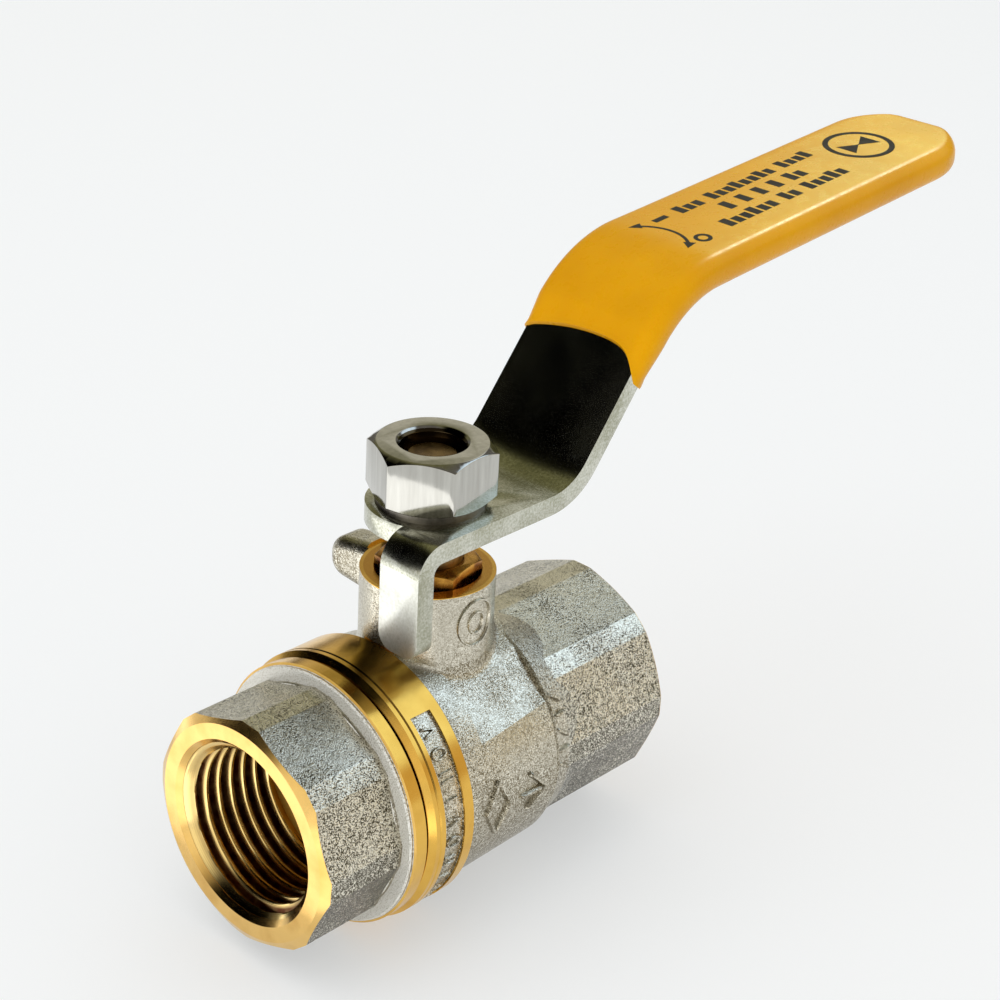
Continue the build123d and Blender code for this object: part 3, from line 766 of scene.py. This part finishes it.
def on_sleeve(along, across):
    """Point of the print on the sleeve's upper face; along starts where the grip's bend ends."""
    height = STRIP_THICKNESS / 2 + SLEEVE_WALL + crown_height(across) + INK
    if along >= 0:
        point = GRIP_BEND[-1] + GRIP_DIRECTION * along + GRIP_NORMAL * height
    else:
        turn = Matrix.Rotation(-along / OUTER_BEND_R, 2)
        point = BEND_CENTRE + turn @ (GRIP_NORMAL * (OUTER_BEND_R + height))
    return (STEM_X + point.x, across, point.y)


def patch(corners, steps):
    """A four-cornered patch as a grid of points, in sleeve coordinates."""
    a, b, c, d = (Vector(corner) for corner in corners)
    rows = []
    for i in range(steps + 1):
        near = a.lerp(b, i / steps)
        far = d.lerp(c, i / steps)
        rows.append([near.lerp(far, j / 2) for j in range(3)])
    return rows


def block(along, across, length, height):
    """A filled block; across is its middle."""
    half = height / 2
    return patch((
        (along, across - half), (along + length, across - half),
        (along + length, across + half), (along, across + half),
    ), 3)


def ring_patch(along, across, outer, inner, start=0.0, turn=TAU, steps=48):
    """An annulus, or part of one."""
    rows = []
    for i in range(steps + 1):
        angle = start + turn * i / steps
        way = Vector((math.cos(angle), math.sin(angle)))
        rows.append([Vector((along, across)) + way * (inner + (outer - inner) * j / 2) for j in range(3)])
    return rows


def word_row(along, across, words, size):
    """Plain blocks where a line of print would be: words says how many make each word."""
    width, gap, space = 0.56 * size, 0.20 * size, 0.62 * size
    patches = []
    for count in words:
        for i in range(count):
            height = size if i % 3 == 0 else 0.76 * size
            patches.append(block(along, across - (size - height) / 2, width, height))
            along += width + gap
        along += space
    return patches


def arrow_head(tip, heading, size):
    way = Vector((math.cos(heading), math.sin(heading)))
    side = Vector((-way.y, way.x))
    back = tip - way * size
    return patch((back - side * size * 0.5, tip, tip, back + side * size * 0.5), 4)


def turn_arrow():
    """A two-headed arc that shows which way the lever turns."""
    middle = (-4.2 * MM, 0.1 * MM)
    arc_r = 5.6 * MM
    half_line = 0.22 * MM
    spread = math.radians(46)
    past_line = 0.16                # radians from the line's end to the head's tip
    marks = [ring_patch(*middle, arc_r + half_line, arc_r - half_line, -spread, 2 * spread, 24)]
    for side in (-1, 1):
        angle = side * (spread + past_line)
        tip = Vector(middle) + Vector((math.cos(angle), math.sin(angle))) * arc_r
        marks.append(arrow_head(tip, angle + side * math.pi / 2, 1.5 * MM))
    return marks


def valve_symbol():
    """Two triangles tip to tip in a ring."""
    along, across = 39.9 * MM, 0.4 * MM
    centre = (along, across)
    marks = [ring_patch(along, across, 4.7 * MM, 3.95 * MM)]
    for side in (-1, 1):
        far = along + side * 2.7 * MM
        low = (far, across - 1.6 * MM)
        high = (far, across + 1.6 * MM)
        marks.append(patch((low, centre, centre, high), 6))
    return marks


def print_patches():
    """All printed marks: blocks, a turn arrow with an open and a shut sign, and a valve symbol."""
    marks = []
    for along, across, words, size in PRINT_ROWS:
        marks += word_row(along * MM, across * MM, words, size * MM)
    marks += turn_arrow()
    marks.append(block(2.2 * MM, 3.5 * MM, 2.4 * MM, 0.9 * MM))
    marks.append(ring_patch(2.4 * MM, -3.9 * MM, 1.15 * MM, 0.62 * MM, steps=24))
    return marks + valve_symbol()


def ordered_mesh(name, bm):
    """A mesh with its points and faces sorted, because solidify leaves faces in no fixed order."""
    verts = sorted(bm.verts, key=lambda vert: tuple(vert.co))
    number = {vert: i for i, vert in enumerate(verts)}
    faces = []
    for face in bm.faces:
        ring = [number[vert] for vert in face.verts]
        first = ring.index(min(ring))
        faces.append(ring[first:] + ring[:first])
    mesh = bpy.data.meshes.new(name)
    mesh.from_pydata([vert.co for vert in verts], [], sorted(faces))
    return mesh


def add_print():
    """Joins the patches into one thin piece."""
    verts = []
    faces = []
    for grid in print_patches():
        start = len(verts)
        columns = len(grid[0])
        for row in grid:
            verts += [on_sleeve(point.x, point.y) for point in row]
        for i in range(len(grid) - 1):
            for j in range(columns - 1):
                k = start + i * columns + j
                faces.append((k, k + 1, k + columns + 1, k + columns))
    flat = bpy.data.meshes.new("grip_print_flat")
    flat.from_pydata(verts, [], faces)
    bm = bmesh.new()
    bm.from_mesh(flat)
    bmesh.ops.remove_doubles(bm, verts=bm.verts, dist=1e-7)
    for face in bm.faces:
        face.normal_update()
        if face.normal.z < 0:
            face.normal_flip()
    bmesh.ops.solidify(bm, geom=bm.faces, thickness=0.05 * MM)
    mesh = ordered_mesh("grip_print", bm)
    bm.free()
    bpy.data.meshes.remove(flat)
    add_piece("grip_print", mesh, "ink", "stem_and_lever", 40)


add_print()


# ---- Raised marks of the forging ---------------------------------------------------------
def stroke_rows(points, closed, width, height):
    """Sections of a raised rounded bead along a line in flat (u, v) coordinates."""
    profile = [(-0.5, -0.5), (-0.42, 0.45), (-0.22, 1.0), (0.22, 1.0), (0.42, 0.45), (0.5, -0.5)]
    rows = []
    count = len(points)
    for i, point in enumerate(points):
        before = points[(i - 1) % count] if closed or i else point
        after = points[(i + 1) % count] if closed or i < count - 1 else point
        way = (Vector(after) - Vector(before)).normalized()
        side = Vector((-way.y, way.x))
        low = not closed and i in (0, count - 1)
        top = 0.35 if low else 1.0      # an open line's ends slope down
        rows.append([
            (*(Vector(point) + side * width * across), height * min(rise, top))
            for across, rise in profile
        ])
    return rows


def divided(corners, closed=False, spacing=0.25 * MM):
    """The same line with more points."""
    corners = [Vector(corner) for corner in corners]
    ends = corners[1:] + ([corners[0]] if closed else [])
    points = []
    for a, b in zip(corners, ends):
        count = max(1, round((b - a).length / spacing))
        points += [a.lerp(b, i / count) for i in range(count)]
    return points if closed else points + [corners[-1]]


def oval(half_u, half_v, count=40):
    angles = [TAU * i / count for i in range(count)]
    return [(half_u * math.cos(angle), half_v * math.sin(angle)) for angle in angles]


def bar(u, v, length_u, length_v):
    """An open straight line about (u, v), with closed=False for its bead."""
    return divided([(u - length_u / 2, v - length_v / 2), (u + length_u / 2, v + length_v / 2)]), False


def on_pipe(x, angle, radius):
    """Places flat marks on a surface of revolution about the pipe axis."""
    def place(u, v, rise):
        turn = math.radians(angle) + v / radius
        far = radius + rise
        return (STEM_X + x + u, -far * math.sin(turn), far * math.cos(turn))
    return place


def on_neck(angle, z, radius):
    """Places flat marks on a surface of revolution about the stem axis."""
    def place(u, v, rise):
        turn = math.radians(angle) + u / radius
        far = radius + rise
        return (STEM_X + far * math.cos(turn), far * math.sin(turn), z + v)
    return place


def add_marks(name, marks):
    """marks: (placing function, line, closed, width, height) for each bead."""
    verts = []
    faces = []
    for place, points, closed, width, height in marks:
        rows = stroke_rows(points, closed, width, height)
        faces += tube_faces(len(verts), len(rows), len(rows[0]), closed)
        verts += [place(*corner) for row in rows for corner in row]
    mesh = outward_mesh(name, verts, faces)
    add_piece(name, mesh, "marks", "valve_body", 50)


def pocket_marks():
    """Bars, rings and chevrons in the cast strip of the body's machined ring."""
    half = 0.95 * MM
    shapes = (
        [bar(0, 0, 2 * half, 0)],
        [(divided([(-half, -0.55 * MM), (half, 0), (-half, 0.55 * MM)]), False)],
        [(oval(half, 0.6 * MM, 24), True)],
        [bar(0, -0.45 * MM, 2 * half, 0), bar(0, 0.45 * MM, 2 * half, 0)],
    )
    marks = []
    for side in (1, -1):
        for i in range(12):
            place = on_pipe(-10.7 * MM, side * (36 + 9.6 * i), 15.85 * MM)
            for points, closed in shapes[i % len(shapes)]:
                marks.append((place, points, closed, 0.42 * MM, 0.28 * MM))
    return marks


def collar_marks():
    """Bars, every other one slanted, where the barrel meets the rear octagon."""
    marks = []
    for side in (1, -1):
        for i in range(5):
            place = on_pipe(9.1 * MM, side * (57 + 8.6 * i), 14.38 * MM)
            line = bar(0, 0, 2.0 * MM, 0) if i % 2 else bar(0, 0, 1.9 * MM, 1.3 * MM)
            marks.append((place, *line, 0.6 * MM, 0.42 * MM))
    return marks


def barrel_marks():
    """A flow arrow and a diamond on each flank of the barrel."""
    bead = (0.7 * MM, 0.55 * MM)
    diamond = divided([(-1.9 * MM, 0), (0, -3.4 * MM), (1.9 * MM, 0), (0, 3.4 * MM)], True)
    shaft = bar(-0.2 * MM, 0, 3.6 * MM, 0)
    head = divided([(-0.5 * MM, -2.5 * MM), (2.1 * MM, 0), (-0.5 * MM, 2.5 * MM)])
    marks = []
    for side in (1, -1):
        arrow = on_pipe(2.9 * MM, side * 93, 15.08 * MM)
        marks.append((on_pipe(-2.9 * MM, side * 92, 15.18 * MM), diamond, True, *bead))
        marks.append((arrow, *shaft, *bead))
        marks.append((arrow, head, False, *bead))
    return marks


def neck_marks():
    """Two plain ovals, one inside the other, on the neck's -Y side."""
    place = on_neck(-90, 19.4 * MM, 7.78 * MM)
    return [
        (place, oval(2.5 * MM, 2.8 * MM), True, 0.42 * MM, 0.28 * MM),
        (place, oval(1.1 * MM, 1.3 * MM, 24), True, 0.40 * MM, 0.26 * MM),
    ]


add_marks("ring_marks", pocket_marks())
add_marks("collar_marks", collar_marks())
add_marks("barrel_marks", barrel_marks())
add_marks("neck_mark", neck_marks())


# ---- Lever and nuts with rounded edges ------------------------------------------------------
def add_softened(node, width, finish, body, angle=30):
    piece = add_piece(node + "_detail", softened(node, width, angle), finish, body, 30)
    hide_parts(node)


add_softened("lever", 0.30 * MM, "steel", "stem_and_lever")
add_softened("lever_nut", 0.18 * MM, "nut", "stem_and_lever", 18)
add_softened("gland_nut", 0.12 * MM, "gland", "valve_body")


# ---- Floor, light and camera ----------------------------------------------------------------
def add_floor():
    """A light table: white, and lit a little from below, so that shadows stay pale."""
    mesh = bpy.data.meshes.new("floor")
    reach = 4.0                     # half its side
    corners = [(-reach, -reach), (reach, -reach), (reach, reach), (-reach, reach)]
    mesh.from_pydata([(x, y, LOWEST) for x, y in corners], [], [(0, 1, 2, 3)])
    tree = Tree("floor", 0.0, 0.6, (0.50, 0.51, 0.51))
    cloud = tree.noise(1.5, 2)
    tree.colour(tree.blend(cloud, (0.49, 0.50, 0.51), (0.51, 0.515, 0.515)))
    tree.feed(tree.shader.inputs["Emission Color"], tree.blend(cloud, (0.97, 0.99, 1.0), (1.0, 1.0, 0.99)))
    tree.shader.inputs["Emission Strength"].default_value = 0.44
    mesh.materials.append(tree.material)
    floor = bpy.data.objects.new("floor", mesh)
    bpy.context.scene.collection.objects.link(floor)


def direction(azimuth, elevation):
    """Unit vector; azimuth is in degrees from +X towards +Y."""
    a = math.radians(azimuth)
    e = math.radians(elevation)
    return Vector((math.cos(a) * math.cos(e), math.sin(a) * math.cos(e), math.sin(e)))


WHITE = (1, 1, 1)


def add_panel(name, location, toward, size, watts, colour=WHITE, glossy=True):
    """A soft rectangular light, unseen by the camera; glossy=False keeps it out of reflections."""
    light = bpy.data.lights.new(name, "AREA")
    light.shape = "RECTANGLE"
    light.size, light.size_y = size
    light.energy = watts
    light.color = colour
    holder = bpy.data.objects.new(name, light)
    holder.location = location
    holder.rotation_euler = (Vector(toward) - Vector(location)).to_track_quat("-Z", "Y").to_euler()
    holder.visible_camera = False
    holder.visible_glossy = glossy
    bpy.context.scene.collection.objects.link(holder)
    return holder


def add_lamp(name, target, way, distance, size, watts, colour=WHITE, glossy=True):
    """A panel that faces its target; way is its azimuth and elevation, seen from there."""
    return add_panel(name, target + direction(*way) * distance, target, size, watts, colour, glossy)


def link_light_to(lights, name, state):
    """Lets lights reach the sleeve alone (INCLUDE), or all but the sleeve (EXCLUDE)."""
    receivers = bpy.data.collections.new(name)
    receivers.objects.link(bpy.data.objects["sleeve_detail"])
    receivers.collection_objects[0].light_linking.link_state = state
    for light in lights:
        light.light_linking.receiver_collection = receivers


def within_cone(nodes, links, place, azimuth, elevation, low, high):
    """0 to 1 as a world direction comes within a cone; low and high are cosines of its edges."""
    toward = nodes.new("ShaderNodeVectorMath")
    toward.operation = "DOT_PRODUCT"
    links.new(place, toward.inputs[0])
    toward.inputs[1].default_value = direction(azimuth, elevation)
    span = nodes.new("ShaderNodeMapRange")
    span.interpolation_type = "SMOOTHSTEP"
    links.new(toward.outputs["Value"], span.inputs["Value"])
    span.inputs["From Min"].default_value = low
    span.inputs["From Max"].default_value = high
    return span.outputs["Result"]


SKY_DIM = (0.17, 0.16, 0.14)
SKY_CARDS = (
    # azimuth, elevation, cosines of the soft edge's outer and inner side, colour
    (-52, 0, 0.72, 0.92, (0.72, 0.61, 0.41)),      # warm wall
    (44, 24, 0.91, 0.975, (0.64, 0.61, 0.49)),     # pale wall behind
    (-31, 39, 0.90, 0.965, (1.20, 1.45, 1.72)),    # window
    (24, 44, 0.965, 0.990, (1.0, 1.0, 0.95)),      # small lamp behind
    (188, -5, 0.72, 0.92, (1.15, 1.13, 1.05)),     # bright side
    (92, 54, 0.66, 0.86, (0.20, 0.19, 0.09)),      # olive screen
    (134, 36, 0.72, 0.88, (0.0, 0.0, 0.0)),        # black card
)
FILL = (0.83, 0.84, 0.84)


def add_world():
    """Cards for the metal to reflect, and an even pale fill for everything matt and for the backdrop."""
    world = bpy.data.worlds.new("studio")
    world.use_nodes = True
    nodes = world.node_tree.nodes
    links = world.node_tree.links
    place = nodes.new("ShaderNodeTexCoord").outputs["Generated"]
    seen = SKY_DIM
    for *cone, colour in SKY_CARDS:
        seen = mix_colours(nodes, links, within_cone(nodes, links, place, *cone), seen, colour)
    path = nodes.new("ShaderNodeLightPath").outputs
    plain = nodes.new("ShaderNodeMath")
    plain.operation = "MAXIMUM"
    links.new(path["Is Diffuse Ray"], plain.inputs[0])
    links.new(path["Is Camera Ray"], plain.inputs[1])
    lit = mix_colours(nodes, links, plain.outputs[0], seen, FILL)
    links.new(lit, nodes["Background"].inputs["Color"])
    world.cycles.sampling_method = "NONE"
    bpy.context.scene.world = world


CAMERA_PLACE = (-131.57 * MM, -153.62 * MM, 141.21 * MM)   # the camera that fits the photograph
CAMERA_AZIMUTH = math.radians(41.91)
CAMERA_TILT = math.radians(26.21)
CAMERA_ROLL = math.radians(3.19)


def add_camera():
    view = Vector((
        math.cos(CAMERA_AZIMUTH) * math.cos(CAMERA_TILT),
        math.sin(CAMERA_AZIMUTH) * math.cos(CAMERA_TILT),
        -math.sin(CAMERA_TILT),
    ))
    level = Vector((math.sin(CAMERA_AZIMUTH), -math.cos(CAMERA_AZIMUTH), 0))
    up = level.cross(view)
    right = math.cos(CAMERA_ROLL) * level + math.sin(CAMERA_ROLL) * up
    top = -math.sin(CAMERA_ROLL) * level + math.cos(CAMERA_ROLL) * up
    camera = bpy.data.cameras.new("camera")
    camera.sensor_width = 36.0
    camera.lens = 79.53
    camera.clip_start = 0.01
    camera.clip_end = 30.0
    holder = bpy.data.objects.new("camera", camera)
    turn = Matrix((right, top, -view)).transposed().to_4x4()
    holder.matrix_world = Matrix.Translation(CAMERA_PLACE) @ turn
    bpy.context.scene.collection.objects.link(holder)
    bpy.context.scene.camera = holder


def add_lights():
    """An overhead panel for all but the sleeve, three lamps for the sleeve alone, and a lit table."""
    valve = Vector((STEM_X, 0, 0.02))
    grip = Vector((STEM_X + 0.065, 0, 0.056))
    overhead = add_lamp("overhead", valve, (150, 68), 0.9, (0.9, 0.9), 1.9, glossy=False)
    sleeve_lamps = (
        add_lamp("sleeve_sheen", grip, (27, 30), 0.6, (0.20, 0.16), 0.36, (0.62, 1, 0.5)),
        add_lamp("sleeve_glare", grip, (14, 46), 0.6, (0.12, 0.12), 1.5, (0.85, 1, 0.95)),
        add_lamp("sleeve_front", grip, (200, 0), 0.6, (0.3, 0.3), 1.9, glossy=False),
    )
    link_light_to(sleeve_lamps, "sleeve_lamp_receivers", "INCLUDE")
    link_light_to([overhead], "overhead_receivers", "EXCLUDE")
    glow = Vector((-0.085, 0.035, LOWEST + 0.5 * MM))
    add_panel("table_glow", glow, (glow.x, glow.y, 1.0), (0.15, 0.19), 0.085)


add_floor()
add_world()
add_lights()
add_camera()
bpy.context.scene.view_settings.view_transform = "Standard"
